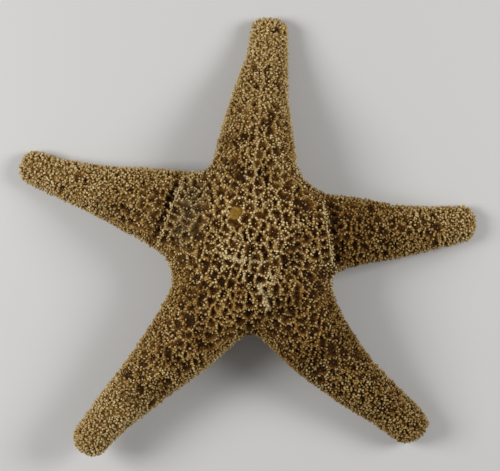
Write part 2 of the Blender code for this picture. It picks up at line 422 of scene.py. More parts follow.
def net_place(points, middles, joined):
    """Distance of each point from the nearest ridge of the net, the step that takes it there, and its mesh.

    A point's squares of distance from its nearest middle and from the nearest one of another mesh, over
    twice the distance between those, differ by its distance from the ridge. Distances along an arm
    count more near its tip, so the meshes there are wide and short, and a slow wave added to the points
    makes the ridges waver.
    """
    points = points + WAVER * np.sin(points @ WAVER_TURNS) + RIPPLE * np.sin(points @ RIPPLE_TURNS)
    cubes, cube = np.unique(np.floor(points / NEAR_CUBE).astype(int), axis=0, return_inverse=True)
    tree = tree_of(middles)
    near = np.array([[i for _, i, _ in tree.find_n((at + 0.5) * NEAR_CUBE, NEAR_COUNT)] for at in cubes])
    near = near[cube.ravel()]
    arm, station, _ = nearest_arm(points)
    ahead = np.array([np.append(directions(each.heading)[0], 0) for each in ARMS.values()])[arm]
    stretch = (1 + (NARROWED_AT_TIP - 1) * narrowing(station)) ** 2 - 1
    gap = points[:, None] - middles[near]
    far = (gap**2).sum(axis=2) + stretch[:, None] * np.einsum("nki,ni->nk", gap, ahead) ** 2
    first = far.argmin(axis=1)[:, None]
    same = joined[near] == joined[np.take_along_axis(near, first, axis=1)]
    two = np.concatenate([first, np.where(same, np.inf, far).argmin(axis=1)[:, None]], axis=1)
    two_far = np.take_along_axis(far, two, axis=1)
    two = np.take_along_axis(near, two, axis=1)
    across = middles[two[:, 1]] - middles[two[:, 0]]
    apart = np.linalg.norm(across, axis=1)
    stretched = np.sqrt(apart**2 + stretch * (across * ahead).sum(axis=1) ** 2)
    ridge = (two_far[:, 1] - two_far[:, 0]) / (2 * stretched)
    return ridge, across * (ridge / apart)[:, None], joined[two[:, 0]]


def in_ring(points):
    """1 in the ring of pale, fine meshes round the middle of the disc, and 0 far from it."""
    from_middle = np.hypot(*(points[:, :2] - RING_MIDDLE).T)
    return np.exp(-(((from_middle - RING_RADIUS) / RING_WIDTH) ** 2))


midline_stations = np.linspace(MIDLINE_FROM, MIDLINE_TO, LINE_POINTS)
top_midline = arm_point(ARMS["top"], midline_stations, np.zeros(LINE_POINTS))
rims = [rim_line(arm) for arm in ARMS.values() if arm.crease]
ridge_lines = [PALE_BAND, PALE_SPUR, PALE_RIDGE + TO_CROTCH[1:], top_midline, *rims]
paired_middles = np.concatenate([beside_line(line) for line in ridge_lines])
loose_middles, _ = scattered(tip_points, skin_triangles, outwards, MIDDLES_PER_SQUARE_MM)
middle_points = np.concatenate([paired_middles, loose_middles])
_, middle_station, _ = nearest_arm(middle_points)
mesh_width = MESH_ON_DISC + (MESH_AT_TIP - MESH_ON_DISC) * narrowing(middle_station)
mesh_width *= chance.uniform(1 - MESHES_VARY, 1 + MESHES_VARY, len(mesh_width)) * MIDDLES_APART
mesh_width *= 1 - FINER_IN_RING * in_ring(middle_points)
mesh_width[:len(paired_middles)] = 2 * BESIDE_LINE - PAIR_SLACK
kept = thinned(middle_points, range(len(middle_points)), mesh_width)
net_middles = middle_points[kept]
joined = np.arange(len(kept))
is_loose = kept >= len(paired_middles)
middle_tree = tree_of(net_middles)
for i in np.flatnonzero(is_loose & (chance.random(len(kept)) < JOINED_SHARE)):
    beside = [j for _, j, _ in middle_tree.find_n(net_middles[i], NEIGHBOURS)[1:] if is_loose[j]]
    joined[i] = joined[beside[0] if beside else i]
open_share = OPEN_ON_DISC + (OPEN_AT_TIP - OPEN_ON_DISC) * narrowing(middle_station[kept] - OPEN_FARTHER)
is_open = chance.random(len(kept)) < open_share

# The skin. Dried leathery skin, drawn tight over the net: ochre on the ridges, nearly black where it
# has sunk into the meshes, and tan underneath. It lies just inside the spine tips, and stands in for
# the plain solid.
DISC_SKIN_DEPTH = 1.15
ARM_SKIN_DEPTH = 1.75
MESH_DEPTH = 1.95
UNDER_MESH_SHARE = 0.35
RIDGE_HALF_WIDTH = 0.72
TIP_FILL = 0.4
FLANK_TURN = 0.75
FLANK_OVER = 0.5
BACK_TURN = 0.3
SKIN_OFF_TABLE = 0.5
# Places where the colour changes are each a line in plan, its half width in millimetres, and how strong
# it is there.
PALE_LINES = (
    (PALE_BAND, 1.7, 0.7),
    (PALE_SPUR, 0.9, 0.7),
    (PALE_RIDGE, 1.2, 0.95),
    (PALE_RIDGE[2:], 1.6, 1.0),
    (TO_CROTCH, 0.8, 0.25),
    (BURST, 1.9, 0.65),
    (BARE_MESH, 1.7, 0.3),
    (top_midline, 0.8, 0.3),
    *((rim, 0.8, 0.25) for rim in rims),
)
GREYED = (
    (((-27.5, 20.0), (-28.0, 14.0), (-32.0, 3.0)), 7.5, 0.8),
    (BARE_MESH, 2.4, 0.9),
)
PALE_RISES = 0.4
SIEVE_MIDDLE = (-6.0, 10.7)
SIEVE_HALF = (3.5, 2.75)
SIEVE_TURN = 36.0
SIEVE_CLEAR = 0.6
SKIN_LUMPS = 0.15
LUMPS_LIMIT = 0.3
ARM_STATIONS = (20.0, 45.0, 75.0, 105.0)
# How tan each arm is at ARM_STATIONS: tanner towards the tips, and more on the top and left arms than on the
# right and lower right ones.
ARM_TAN = {
    "top": (0.25, 0.4, 0.65, 1.0),
    "left": (0.25, 0.45, 0.62, 0.8),
    "lower_left": (0.1, 0.24, 0.42, 0.78),
    "lower_right": (0.1, 0.0, 0.0, 0.25),
    "right": (0.15, 0.0, 0.1, 0.6),
}
# How much darker each arm is made at ARM_STATIONS: just past the right arm's rim this is painted shade, and
# the lower right arm is darker along its length.
ARM_DARKENING = {
    "top": (0.0, 0.0, 0.0, 0.0),
    "left": (0.0, 0.05, 0.0, 0.0),
    "lower_left": (0.16, 0.04, 0.03, 0.04),
    "lower_right": (0.2, 0.42, 0.5, 0.3),
    "right": (0.04, 0.4, 0.1, 0.0),
}
STAINS = (
    (((-4.6, 32.5), (-4.2, 29.5)), 4.0, 0.8),
    (((8.0, 31.0), (8.2, 28.5)), 3.6, 0.8),
    (((-9.0, 46.3), (0.0, 47.8)), 3.0, 0.5),
    (((24.5, 12.0), (28.5, 11.5)), 3.2, 0.5),
    (((23.5, 0.5), (22.5, -7.0), (20.0, -13.0)), 3.8, 0.7),
    (((28.5, -25.0), (30.5, -27.5)), 3.0, 0.45),
    (((-1.0, -41.5), (-0.5, -45.0)), 3.0, 0.45),
    (((19.0, -34.5), (10.0, -39.0)), 3.6, 0.65),
    (((-22.5, -27.0), (-28.0, -36.0), (-20.5, -45.0), (-24.5, -52.0)), 3.6, 0.5),
    (((-41.5, -55.0), (-33.0, -66.0)), 3.6, 0.5),
    (((-57.5, -79.0), (-41.5, -74.0)), 4.2, 0.6),
    (((31.0, -61.0), (46.0, -50.0)), 4.2, 0.4),
    (((54.5, -5.0), (59.0, 12.0)), 4.2, 0.45),
    (((68.0, -1.5), (71.0, -3.5)), 4.6, 0.5),
    (((-72.0, 13.0), (-62.0, 14.0)), 4.2, 0.4),
    (((-46.5, 25.0), (-46.0, 21.0)), 4.0, 0.35),
    (((64.0, -84.0), (67.0, -87.0)), 4.0, 0.35),
)
WORN = (
    (((38.5, -7.0), (40.0, -14.0), (40.0, -25.0)), 4.5, 0.95),
    (((35.0, 14.0), (36.5, -2.0)), 2.4, 0.5),
    (((35.5, -65.0), (41.0, -66.0)), 4.5, 1.0),
    (((17.0, -46.0), (20.5, -46.5)), 3.6, 0.5),
    (((12.0, 49.0), (17.0, 34.0)), 4.0, 0.4),
    (((76.0, 12.0), (88.0, 12.5)), 4.5, 0.4),
    (((-38.5, 27.0), (-38.0, 14.0)), 2.6, 0.5),
    (((-47.0, 8.0), (-45.0, -3.0)), 3.4, 0.5),
    (((3.0, 78.0), (8.0, 78.0)), 6.0, 0.25),
)
WORN_DUST = 0.35
WORN_BLEACH = 0.45
STAIN_UNDUST = 0.4
STAIN_UNBLEACH = 0.3
BLEACHED = 0.08
TAN_BLEACHES = 0.22
DISC_BLEACHES = 0.24
DISC_BLEACH_ENDS = 52.0
DISC_BLEACH_FADE = 22.0
RING_BLEACH = 0.56
PALE_BLEACH = 0.8
# HOLLOW_SHADE is painted shade: how much tan and whiteness the hollows behind the wrinkled rims lose.
HOLLOW_SHADE = 0.9
HOLLOW_LENGTH = 1.3
GROOVE_END = 5.0
MOUTH_SOFT = 1.5
UNDER_FROM = 0.1
UNDER_OVER = 0.5
OPEN_EDGE = 1.4
OPEN_SHADE = 0.75

skin_ridge, _, skin_mesh_in = net_place(tip_points, net_middles, joined)


def to_line(points, line):
    """Distance in plan from a line of straight stretches."""
    line = np.array(line)
    best = np.full(len(points), np.inf)
    for start, end in zip(line[:-1], line[1:]):
        run = end - start
        share = np.clip((points[:, :2] - start) @ run / (run @ run), 0, 1)[:, None]
        best = np.minimum(best, np.linalg.norm(points[:, :2] - start - share * run, axis=1))
    return best


def near_lines(points, lines):
    """How strong the strongest line is at each point: it falls off from a line as a bell over its width."""
    found = [most * np.exp(-((to_line(points, line) / width) ** 2)) for line, width, most in lines]
    return np.max(found, axis=0)


def from_sieve(points, grown=0.0):
    """Distance from the sieve plate's middle as a share of its radius there, so 1 on its edge."""
    long_way, short_way = directions(SIEVE_TURN)
    away = points[:, :2] - SIEVE_MIDDLE
    return np.hypot(away @ long_way / (SIEVE_HALF[0] + grown), away @ short_way / (SIEVE_HALF[1] + grown))


def crease_hollow(points):
    """1 in the hollow behind a wrinkled rim, and 0 elsewhere: spines are thinned there, and it is darkened as
    painted shade.
    """
    hollow = np.zeros(len(points))
    for arm in ARMS.values():
        if arm.crease:
            distance, slant, _, length = arm.crease
            station, _, sideways, half_width = arm_place(arm, points[:, :2])
            past = station - distance + slant * sideways
            side = smooth_step((1 - (sideways / half_width) ** 2) / CREASE_FADE)
            fading = np.exp(-((np.maximum(past, 0) / (length * HOLLOW_LENGTH)) ** 2))
            hollow = np.maximum(hollow, smooth_step(past / CREASE_WIDTH) * fading * side)
    return hollow


def skin_depth(points, ways, ridge):
    """How far the skin lies inside the spine tips: least on the disc's ridges, most in a mesh's middle."""
    _, station, _ = nearest_arm(points)
    shaggy = np.maximum(narrowing(station), smooth_step((FLANK_TURN - ways[:, 2]) / FLANK_OVER))
    crest = DISC_SKIN_DEPTH + (ARM_SKIN_DEPTH - DISC_SKIN_DEPTH) * shaggy
    up = smooth_step(ways[:, 2] / BACK_TURN)
    crest -= PALE_RISES * near_lines(points, PALE_LINES) * up
    sunk = MESH_DEPTH * (1 - TIP_FILL * shaggy) * (1 - np.exp(-((ridge / RIDGE_HALF_WIDTH) ** 2)))
    clear = smooth_step(from_sieve(points, SIEVE_CLEAR) - SIEVE_CLEAR)
    return crest + sunk * np.where(up > 0, clear, 1) * (UNDER_MESH_SHARE + (1 - UNDER_MESH_SHARE) * up)


def on_arms(points, table):
    """The values at the points, from a table of each arm's values at ARM_STATIONS along it."""
    arm, station, _ = nearest_arm(points)
    found = np.array([np.interp(station, ARM_STATIONS, on_arm) for on_arm in table.values()])
    return found[arm, np.arange(len(points))]


def soiled(points):
    """How much darker the skin and spines are made, from 0 to 1: painted shade in the hollows behind the
    wrinkled rims, the stains, and each arm's own darkening.
    """
    found = on_arms(points, ARM_DARKENING) + near_lines(points, STAINS)
    return np.maximum(found, crease_hollow(points)).clip(0, 1)


def dusty(points):
    """How tan the skin and the feet of its spines are, from 0, brown, to 1: most at the arm tips, and least
    in the hollows behind the wrinkled rims, as painted shade.
    """
    found = on_arms(points, ARM_TAN) + WORN_DUST * near_lines(points, WORN)
    found -= STAIN_UNDUST * near_lines(points, STAINS)
    return np.clip(found - HOLLOW_SHADE * crease_hollow(points), 0, 1)


def bleach(points):
    """How white the spines' heads are, from 0 to 1: most in a ring round the centre and on the pale ridge,
    and least in the hollows behind the wrinkled rims, as painted shade.
    """
    from_middle = np.hypot(*(points[:, :2] - RING_MIDDLE).T)
    found = BLEACHED + TAN_BLEACHES * dusty(points)
    found += DISC_BLEACHES * smooth_step((DISC_BLEACH_ENDS - from_middle) / DISC_BLEACH_FADE)
    found += RING_BLEACH * in_ring(points) + PALE_BLEACH * near_lines(points, PALE_LINES)
    found += WORN_BLEACH * near_lines(points, WORN) - STAIN_UNBLEACH * near_lines(points, STAINS)
    return np.clip(found - HOLLOW_SHADE * crease_hollow(points), 0, 1)


def in_groove(points):
    """1 in the grooves of the underside and in the mouth, and 0 outside them."""
    arm, station, sideways = nearest_arm(points)
    stops = np.array([each.reach for each in ARMS.values()])[arm] - GROOVE_STOPS_SHORT
    groove = smooth_step((GROOVE_HALF_WIDTH - np.abs(sideways)) / GROOVE_FLOOR)
    groove *= smooth_step((stops - station) / GROOVE_END)
    from_mouth = np.hypot(*(points[:, :2] - DISC_CENTRE).T) / MOUTH_RADIUS
    return np.maximum(groove, smooth_step(MOUTH_SOFT - from_mouth * MOUTH_SOFT))


lumps = np.clip(chance.normal(0, SKIN_LUMPS, len(tip_points)), -LUMPS_LIMIT, LUMPS_LIMIT)
skin_points = tip_points - outwards * (skin_depth(tip_points, outwards, skin_ridge) + lumps)[:, None]
skin_points[:, 2] = np.maximum(skin_points[:, 2], SKIN_OFF_TABLE)
skin_mesh.vertices.foreach_set("co", (skin_points * MM).astype(np.float32).ravel())


def attribute(mesh, name, values):
    """A number for each vertex, which a material reads by that name."""
    mesh.attributes.new(name, "FLOAT", "POINT").data.foreach_set("value", values.astype(np.float32))


def on_underside(normals):
    """0 on the back and 1 on the underside, with a soft change at the edge."""
    return smooth_step((UNDER_FROM - normals[:, 2]) / UNDER_OVER)


attribute(skin_mesh, "off_ridge", skin_ridge)
attribute(skin_mesh, "under", on_underside(outwards))
# Bare meshes get painted shade: the skin's tan share is taken down in them, towards the dark of a deep mesh.
shaded = is_open[skin_mesh_in] * smooth_step(skin_ridge / OPEN_EDGE)
attribute(skin_mesh, "dusty", dusty(tip_points) * (1 - OPEN_SHADE * shaded))
attribute(skin_mesh, "bleached", bleach(tip_points))
attribute(skin_mesh, "soiled", soiled(tip_points))
attribute(skin_mesh, "pale", near_lines(tip_points, PALE_LINES))
attribute(skin_mesh, "grey", near_lines(tip_points, GREYED))
attribute(skin_mesh, "groove", in_groove(tip_points) * on_underside(outwards))


class Dye:
    """A socket of a material's node tree, or a number: sums and products of dyes make the Math nodes."""

    def __init__(self, socket, tree):
        self.socket = socket
        self.tree = tree

    def node(self, kind, settings=None, inputs=None, output=0):
        """A new node of that type: its settings first, then the values or links of its sockets."""
        made = self.tree.nodes.new(kind)
        for name, value in (settings or {}).items():
            if name == "stops":
                ramp = made.color_ramp
                while len(ramp.elements) < len(value):
                    ramp.elements.new(1.0)
                for element, (place, colour) in zip(ramp.elements, value):
                    element.position = place
                    element.color = (*colour, 1.0)
            else:
                setattr(made, name, value)
        for name, value in (inputs or {}).items():
            if isinstance(value, Dye):
                self.tree.links.new(value.socket, made.inputs[name])
            else:
                made.inputs[name].default_value = value
        return Dye(made.outputs[output], self.tree)

    def maths(self, operation, *values, clamp=False):
        numbered = dict(enumerate(values))
        return self.node("ShaderNodeMath", {"operation": operation, "use_clamp": clamp}, numbered)

    def __add__(self, other):
        return self.maths("ADD", self, other)

    __radd__ = __add__

    def __sub__(self, other):
        return self.maths("SUBTRACT", self, other)

    def __rsub__(self, other):
        return self.maths("SUBTRACT", other, self)

    def __mul__(self, other):
        return self.maths("MULTIPLY", self, other)

    __rmul__ = __mul__

    def clamped(self):
        return self.maths("ADD", self, 0.0, clamp=True)

    def value(self, name):
        """The mesh's own numbers of that name, as attribute() put them there."""
        return self.node("ShaderNodeAttribute", {"attribute_name": name}, output="Fac")

    def speckle(self, size, detail=3.0, roughness=0.55):
        """Noise of that size in metres, around a half."""
        place = self.node("ShaderNodeTexCoord", output="Object")
        sizes = {"Vector": place, "Scale": 1 / size, "Detail": detail, "Roughness": roughness}
        return self.node("ShaderNodeTexNoise", None, sizes)

    def bumps(self, height, strength, depth):
        """A normal as over bumps of that height, at that strength and depth in metres."""
        return self.node("ShaderNodeBump", None, {"Height": height, "Strength": strength, "Distance": depth})

    def shaded(self, *stops):
        """The colour at this number on a ramp of stops, each a place and a colour."""
        return self.node("ShaderNodeValToRGB", {"stops": stops}, {"Fac": self})

    def mixed(self, first, second, share):
        """A colour that goes from the first to the second as the share goes from 0 to 1."""
        colours = {"Factor": share, "A": first, "B": second}
        made = self.tree.nodes.new("ShaderNodeMix")
        made.data_type = "RGBA"
        for name, value in colours.items():
            socket = next(s for s in made.inputs if s.name == name and s.enabled)
            if isinstance(value, Dye):
                self.tree.links.new(value.socket, socket)
            else:
                socket.default_value = (*value, 1.0) if isinstance(value, tuple) else value
        return Dye(next(s for s in made.outputs if s.enabled), self.tree)


def finish_of(name, **constants):
    """A new material, its principled shader with those sockets set, and a dye to build the others from."""
    material = bpy.data.materials.new(name)
    material.use_nodes = True
    shader = material.node_tree.nodes["Principled BSDF"]
    for socket, value in constants.items():
        shader.inputs[socket.replace("_", " ")].default_value = value
    return material, shader, Dye(None, material.node_tree)


def soak(dye, shader, **links):
    for socket, value in links.items():
        dye.tree.links.new(value.socket, shader.inputs[socket.replace("_", " ")])


SUNK_SKIN = (0.036, 0.0135, 0.0026)
RED_SKIN = (0.135, 0.049, 0.007)
TAN_DEEP = (0.43, 0.255, 0.064)
SLOPE_SKIN = (0.155, 0.066, 0.0105)
CREST_SKIN = (0.50, 0.305, 0.080)
RUSTY_CREST = (0.36, 0.155, 0.029)
TAN_SKIN = (0.45, 0.300, 0.105)
WHITE_SKIN = (0.78, 0.65, 0.40)
GREY_CREST = (0.24, 0.168, 0.072)
GREY_HOLLOW = (0.050, 0.033, 0.0155)
UNDER_SKIN = (0.36, 0.24, 0.085)
GROOVE_SKIN = (0.11, 0.060, 0.022)

BLOTCH_SIZE = 0.009
RUST_SIZE = 0.011
MOTTLE_SIZE = 0.0013
RAGGED_SIZE = 0.0025
WHITE_SIZE = 0.002
GREY_SIZE = 0.006
UNDER_SIZE = 0.004
WRINKLE_SIZE = 0.0006

dried_skin, skin_shader, dye = finish_of("dried_skin", Specular_IOR_Level=0.12)
# How much stains, each arm's own darkening and the painted shade in the hollows behind the rims darken the
# skin.
stain_shade = dye.value("soiled")
tan_amount = dye.value("dusty")
bleached = dye.value("bleached")
paleness = dye.value("pale")

# Deep in a mesh the skin is nearly black, with redder blotches, and tan where its tan share is high. Stains,
# each arm's darkening and the painted shade behind the rims make it darker.
off_ridge = dye.value("off_ridge") + (dye.speckle(RAGGED_SIZE) - 0.5) * 1.5
reddening = (dye.speckle(BLOTCH_SIZE) - 0.45) * 3.0 + (dye.speckle(MOTTLE_SIZE) - 0.5) * 2.5
reddening = reddening + tan_amount * 0.8 + bleached * 0.8 - stain_shade * 1.2 - ((off_ridge - 1.3) * 0.8).clamped()
reddened = dye.mixed(SUNK_SKIN, RED_SKIN, reddening.clamped())
deep = dye.mixed(reddened, TAN_DEEP, (tan_amount * 1.3 - 0.35).clamped())
slope = dye.mixed(SLOPE_SKIN, deep, ((off_ridge - 0.7) * 1.2 + stain_shade * 0.8).clamped())

# On a ridge it is ochre with patches of rust, tan where its tan share is high or it is bleached, and white on
# pale lines.
rust = ((dye.speckle(RUST_SIZE) - 0.52) * 5.0 - tan_amount).clamped()
faded = (tan_amount + (bleached - 0.3) * 1.6).clamped()
crest = dye.mixed(dye.mixed(CREST_SKIN, RUSTY_CREST, rust), TAN_SKIN, faded)
crest = dye.mixed(crest, WHITE_SKIN, (paleness * 1.3 + (dye.speckle(WHITE_SIZE) - 0.6)).clamped())
off_crest = (off_ridge - 0.15) * 1.9 + stain_shade * 1.1 - paleness * 1.3 - bleached * 0.25
back = dye.mixed(crest, slope, off_crest.clamped())

# Grey dust lies over the left of the disc, and the underside and its grooves have one colour each.
grey_skin = dye.mixed(GREY_CREST, GREY_HOLLOW, ((off_ridge - 0.2) * 0.9).clamped())
back = dye.mixed(back, grey_skin, (dye.value("grey") * (0.6 + dye.speckle(GREY_SIZE) * 0.6)).clamped())
beneath = dye.value("under") * (dye.speckle(UNDER_SIZE) * 0.8 + 0.3)
whole = dye.mixed(back, UNDER_SKIN, beneath.clamped())
whole = dye.mixed(whole, GROOVE_SKIN, dye.value("groove") * 0.85)
grain = dye.speckle(WRINKLE_SIZE, detail=4.0)
wrinkles = dye.bumps(grain, 0.6, 0.0004)
soak(dye, skin_shader, Base_Color=whole, Roughness=0.75 + 0.2 * grain, Normal=wrinkles)


def add_piece(name, mesh, finish):
    """A piece of the starfish, which stands with the others in place of the plain solid."""
    mesh.materials.append(finish)
    mesh.shade_smooth()
    piece = bpy.data.objects.new(name, mesh)
    bpy.context.scene.collection.objects.link(piece)
    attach(piece, "root")
    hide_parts("starfish")
    return piece


add_piece("skin", skin_mesh, dried_skin)

# The spines on the back. Short blunt spines of lime with round heads, each on a plate of the net:
# single file along the ridges of the disc, with a few more in the meshes, and crowded together towards
# the arm tips and on the flanks.
SPINE_SEED = 23
SPOTS_PER_SQUARE_MM = 3.4
SNAP_REACHES = (0.9, 0.6)
SPINE_JITTER = 0.2
BACK_FROM = -0.15
FLANK_FROM = 0.6
FLANK_TO = 0.2
SIEVE_BARE = 0.45
LOST = 0.95
GREY_LOST = 0.3
RIM_CLEAR = 0.75
ALONE_BEYOND = 1.6
ALONE_SHARE = 0.02
CLUSTER_WITHIN = 1.5
CLUSTER_SHARE = 0.13
BARE_CLUSTER_SHARE = 0.05
FILL_WITHIN = 2.6
BARE_FILL_WITHIN = 0.3
FILL_POWER = 0.6
SPACINGS = (1.16, 1.3, 1.15, 1.8, 1.0)
SPACING_VARIES = (0.85, 1.2)
CROWDED = 0.08
SWEEP = np.array([0.83, 0.45, 0.33])
SWEEP_VARIES = 0.35
SPINE_HEAD = 0.56
HEADS_VARY = (0.74, 1.24)
SMALL = 0.78
SHORTEST = 0.86
TIP_SHORTER = 0.12
TALLEST = 1.04
SPINE_SIDES = 6
SPINE_TILT = 0.2
TIP_TILT = 0.2
ROOTED = 0.5
SPINE_PROFILE = ((0.0, 0.66), (0.5, 0.56), (0.8, 1.0))
chance = np.random.default_rng(SPINE_SEED)


def coloured_by(feet):
    """What the colour of a spine goes by, from where its foot is."""
    return {
        "dusty": dusty(feet),
        "bleached": bleach(feet),
        "soiled": soiled(feet),
        "grey": near_lines(feet, GREYED),
    }


def spine_mesh(name, feet, ways, heights, heads, profile, sides):
    """Joined spines: each is a profile of rings from its foot along its way, closed by a tip and a flat foot.

    A ring is an ellipse of its share of the head's radius, at its share of the height, and the tip is
    one more point. Points below the tabletop are flattened on it.
    """
    count = len(feet)
    turn = np.cross(ways, np.where(np.abs(ways[:, 2:]) > 0.8, [[1.0, 0, 0]], [[0, 0, 1.0]]))
    turn /= np.linalg.norm(turn, axis=1, keepdims=True)
    other = np.cross(ways, turn)
    angle = chance.uniform(0, math.tau, (count, 1)) + np.arange(sides) * math.tau / sides
    oval = chance.uniform(0.8, 1.2, (count, 1, 1))
    circle = oval * np.cos(angle)[..., None] * turn[:, None]
    circle += np.sin(angle)[..., None] * other[:, None] / oval
    rise = np.array([step for step, _ in profile])
    width = np.array([share for _, share in profile])
    middle = feet[:, None] + rise[:, None] * (ways * heights[:, None])[:, None]
    rings = middle[:, :, None] + width[:, None, None] * (circle * heads[:, None, None])[:, None]
    tips = feet + ways * heights[:, None]
    points = np.concatenate([rings.reshape(count, -1, 3), tips[:, None]], axis=1)
    points[..., 2] = np.maximum(points[..., 2], 0.0)
    ring = np.arange(len(profile) - 1)[:, None] * sides
    step = np.arange(sides)
    after = (step + 1) % sides
    quads = np.stack([ring + step, ring + after, ring + after + sides, ring + step + sides], axis=-1)
    last = (len(profile) - 1) * sides
    cap = np.stack([last + step, last + after, np.full(sides, last + sides)], axis=-1)
    first_point = np.arange(count)[:, None, None] * points.shape[1]
    faces = (first_point + quads.reshape(-1, 4)).reshape(-1, 4).tolist()
    faces += (first_point + cap).reshape(-1, 3).tolist()
    faces += (first_point[:, 0] + step[::-1]).tolist()
    mesh = bpy.data.meshes.new(name)
    mesh.from_pydata(points.reshape(-1, 3) * MM, [], faces)
    attribute(mesh, "up", np.tile(np.append(np.repeat(rise, sides), 1.0), count))
    attribute(mesh, "own", np.repeat(chance.random(count), points.shape[1]))
    for name, at_feet in coloured_by(feet).items():
        attribute(mesh, name, np.repeat(at_feet, points.shape[1]))
    return mesh


def leaned(ways, amount):
    """The same directions, each tilted by a random amount."""
    ways = ways + chance.normal(0, 1, ways.shape) * np.reshape(amount, (-1, 1))
    return ways / np.linalg.norm(ways, axis=1, keepdims=True)


def add_spines(name, *shape):
    """A piece of limy spines, of the shape that spine_mesh() takes."""
    add_piece(name, spine_mesh(name, *shape), limy_spine)


BROWN_FOOT = (0.094, 0.039, 0.0055)
OCHRE_NECK = (0.27, 0.140, 0.027)
TAN_FOOT = (0.44, 0.285, 0.082)
TAN_NECK = (0.50, 0.340, 0.120)
TAN_HEAD = (0.42, 0.265, 0.072)
CREAM_HEAD = (0.85, 0.685, 0.355)
RUST_HEAD = (0.36, 0.165, 0.036)
PALE_TAN_HEAD = (0.64, 0.520, 0.315)
STAIN_AND_SHADE_BROWN = (0.040, 0.018, 0.005)
GREY_SPINE = (0.33, 0.250, 0.122)
CREAM_SIZE = 0.008
NECK_SIZE = 0.0012
PIT_SIZE = 0.0004

# A spine is brown or tan at its foot and tan to cream at its head, with patches of rust and grey dust over
# it. It is darker on stains, where its arm is darkened, and under painted shade in the hollows behind the
# rims.
limy_spine, spine_shader, dye = finish_of("limy_spine", Specular_IOR_Level=0.22)
own = dye.value("own")
height = (dye.value("up") + (own - 0.5) * 0.2 + (dye.speckle(NECK_SIZE) - 0.5) * 0.35).clamped()
brown_stem = height.shaded((0.1, BROWN_FOOT), (0.6, OCHRE_NECK))
tan_stem = height.shaded((0.1, TAN_FOOT), (0.6, TAN_NECK))
stem = dye.mixed(brown_stem, tan_stem, dye.value("dusty"))
whitened = (dye.value("bleached") + (own - 0.5) * 0.7 + (dye.speckle(CREAM_SIZE) - 0.5) * 1.9).clamped()
head = dye.mixed(TAN_HEAD, CREAM_HEAD, whitened)
rusted = ((dye.speckle(RUST_SIZE) - 0.5) * 4.0 - dye.value("bleached") * 0.8).clamped()
head = dye.mixed(dye.mixed(head, PALE_TAN_HEAD, dye.value("dusty") * 0.5), RUST_HEAD, rusted * 0.75)
spine_colour = dye.mixed(stem, head, ((height - 0.6) * 2.8).clamped())
spine_colour = dye.mixed(spine_colour, STAIN_AND_SHADE_BROWN, dye.value("soiled") * 0.5)
spine_colour = dye.mixed(spine_colour, GREY_SPINE, dye.value("grey") * 0.5)
pits = dye.bumps(dye.speckle(PIT_SIZE), 0.35, 0.0002)
soak(dye, spine_shader, Base_Color=spine_colour, Roughness=0.6 + 0.3 * own, Normal=pits)

# Possible places lie all over the back. Those near a ridge move onto it, in two steps.
spots, spot_ways = scattered(tip_points, skin_triangles, outwards, SPOTS_PER_SQUARE_MM)
snapped = np.ones(len(spots), bool)
for reach in SNAP_REACHES:
    spot_ridge, spot_step, spot_mesh = net_place(spots, net_middles, joined)
    snapped &= spot_ridge < reach
    spots = np.where(snapped[:, None], spots + spot_step, spots)
spots += chance.normal(0, SPINE_JITTER, spots.shape)
spot_ridge = np.where(snapped, 0.0, spot_ridge)
spot_arm, spot_station, _ = nearest_arm(spots)
upper = spot_ways[:, 2] > BACK_FROM
crowd = narrowing(spot_station)
flank = smooth_step((FLANK_FROM - spot_ways[:, 2]) / (FLANK_FROM - FLANK_TO))
clear = (from_sieve(spots, SIEVE_BARE) > 1) | ~upper
luck = chance.random(len(spots))
lost = chance.random(len(spots)) < LOST * crease_hollow(spots)
lost |= chance.random(len(spots)) < GREY_LOST * near_lines(spots, GREYED)
for line in rims:
    lost |= to_line(spots, line) < RIM_CLEAR
sweep = spots @ SWEEP + chance.normal(0, SWEEP_VARIES, len(spots))

# The places on ridges come first, then those that crowd the tips and flanks, then a few in the meshes,
# and each kind is gone through in one sweep over the starfish, so that its spines stand close together.
CHAIN, CROWD, CLUSTER, ALONE, NONE = range(len(SPACINGS))
rank = np.full(len(spots), NONE)
rank[(spot_ridge > ALONE_BEYOND) & (luck < ALONE_SHARE)] = ALONE
bare = is_open[spot_mesh] & (crowd > 0)
rank[(spot_ridge < CLUSTER_WITHIN) & (luck < np.where(bare, BARE_CLUSTER_SHARE, CLUSTER_SHARE))] = CLUSTER
bare_filled = BARE_FILL_WITHIN * crowd + FILL_WITHIN * flank**2
filled = np.where(bare, bare_filled, FILL_WITHIN * np.maximum(crowd, flank) ** FILL_POWER)
rank[filled > spot_ridge] = CROWD
rank[snapped] = CHAIN
allowed = np.flatnonzero(upper & clear & ~lost & (rank < NONE))
order = allowed[np.lexsort((sweep[allowed], rank[allowed]))]
spacing = np.array(SPACINGS)[rank]
spacing *= (1 - CROWDED * crowd) * chance.uniform(*SPACING_VARIES, len(spots))
picked = thinned(spots, order, spacing)


def feet_at(chosen, rooted):
    """The feet of spines at those places, set into the skin, and how far they are from the spines' tips."""
    depth = skin_depth(spots[chosen], spot_ways[chosen], spot_ridge[chosen]) + rooted
    return spots[chosen] - spot_ways[chosen] * depth[:, None], depth


groups = np.where(spot_station[picked] < ROOT_STATION, -1, spot_arm[picked])
for group, name in enumerate(["disc", *ARMS], start=-1):
    chosen = picked[groups == group]
    feet, depth = feet_at(chosen, ROOTED)
    small = np.where(rank[chosen] >= CLUSTER, SMALL, 1.0)
    tall = small * chance.uniform(SHORTEST - TIP_SHORTER * crowd[chosen], TALLEST)
    heads = SPINE_HEAD * small * chance.uniform(*HEADS_VARY, len(chosen))
    ways = leaned(spot_ways[chosen], SPINE_TILT + TIP_TILT * crowd[chosen])
    add_spines(f"{name}_spines", feet, ways, depth * tall, heads, SPINE_PROFILE, SPINE_SIDES)

